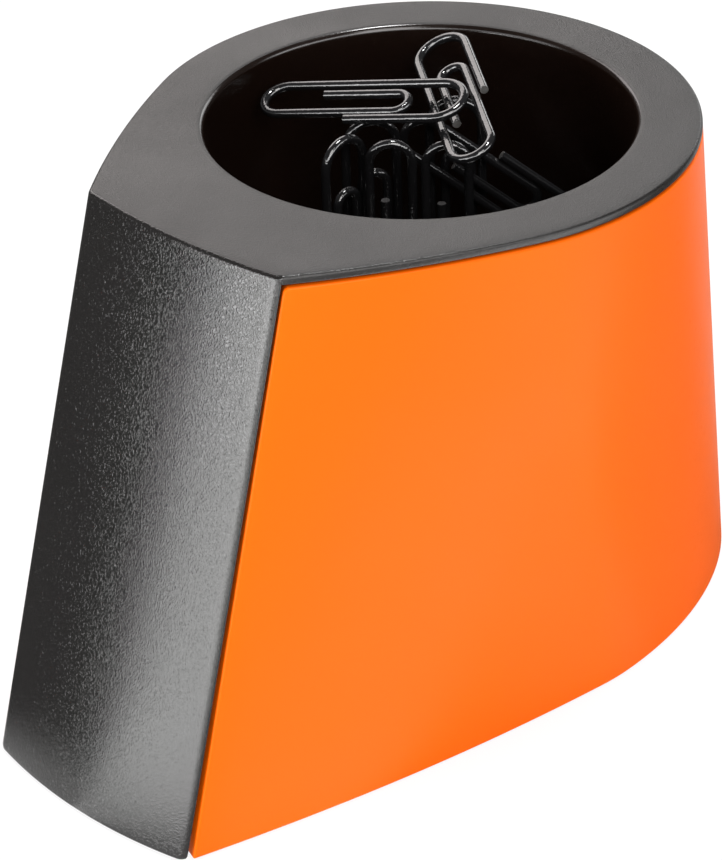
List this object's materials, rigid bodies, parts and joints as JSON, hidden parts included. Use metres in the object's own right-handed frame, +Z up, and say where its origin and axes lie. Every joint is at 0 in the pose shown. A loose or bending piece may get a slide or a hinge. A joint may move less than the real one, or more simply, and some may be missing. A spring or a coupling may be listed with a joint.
{
  "type": "paper clip holder",
  "caption": "Teardrop desk holder for paper clips: a black rim and cup, a leaning textured front panel, an orange wrap round the sides and a magnet that stands the clips on end.",
  "frame": {"origin": "middle of the bounding box at desk level", "axes": "+Z up; -Y towards the leaning front panel; +Y towards the round back"},
  "size_m": [0.068, 0.1098, 0.0719],
  "materials": {
    "black_plastic": "coarse grain on the front panel, fine grain on the rim, smooth and glossy in the cup",
    "orange_plastic": "smooth satin",
    "base_plastic": "fine grain",
    "ferrite": "ground ferrite",
    "pad_rubber": "matte",
    "screw_steel": "zinc plated",
    "clip_lacquer": "glossy black lacquer with bare cut ends"
  },
  "bodies": {
    "holder": {"body_moulding": "black_plastic", "outer_wrap": "orange_plastic", "base_plate": "base_plastic", "magnet_disc": "ferrite", "magnet_cap": "base_plastic", "foot_pad_front_left": "pad_rubber", "foot_pad_front_right": "pad_rubber", "foot_pad_rear_left": "pad_rubber", "foot_pad_rear_right": "pad_rubber", "base_screw_front_left": "screw_steel", "base_screw_front_right": "screw_steel", "base_screw_rear_left": "screw_steel", "base_screw_rear_right": "screw_steel", "clip_standing_2": "clip_lacquer", "clip_standing_4": "clip_lacquer", "clip_standing_5": "clip_lacquer", "clip_leaning": "clip_lacquer", "clip_lying_lower": "clip_lacquer"},
    "standing_clip_1": {"clip_standing_1": "clip_lacquer"},
    "standing_clip_3": {"clip_standing_3": "clip_lacquer"},
    "upper_clip": {"clip_lying_upper": "clip_lacquer"}
  },
  "joints": [
    {"name": "standing_clip_1_lift", "type": "slide", "parent": "holder", "child": "standing_clip_1", "axis": [0, -0.4226, 0.9063], "range_m": [0, 0.038]},
    {"name": "standing_clip_3_lift", "type": "slide", "parent": "holder", "child": "standing_clip_3", "axis": [0, -0.4226, 0.9063], "range_m": [0, 0.038]},
    {"name": "upper_clip_lift", "type": "slide", "parent": "holder", "child": "upper_clip", "axis": [0, 0, 1], "range_m": [0, 0.03]}
  ]
}
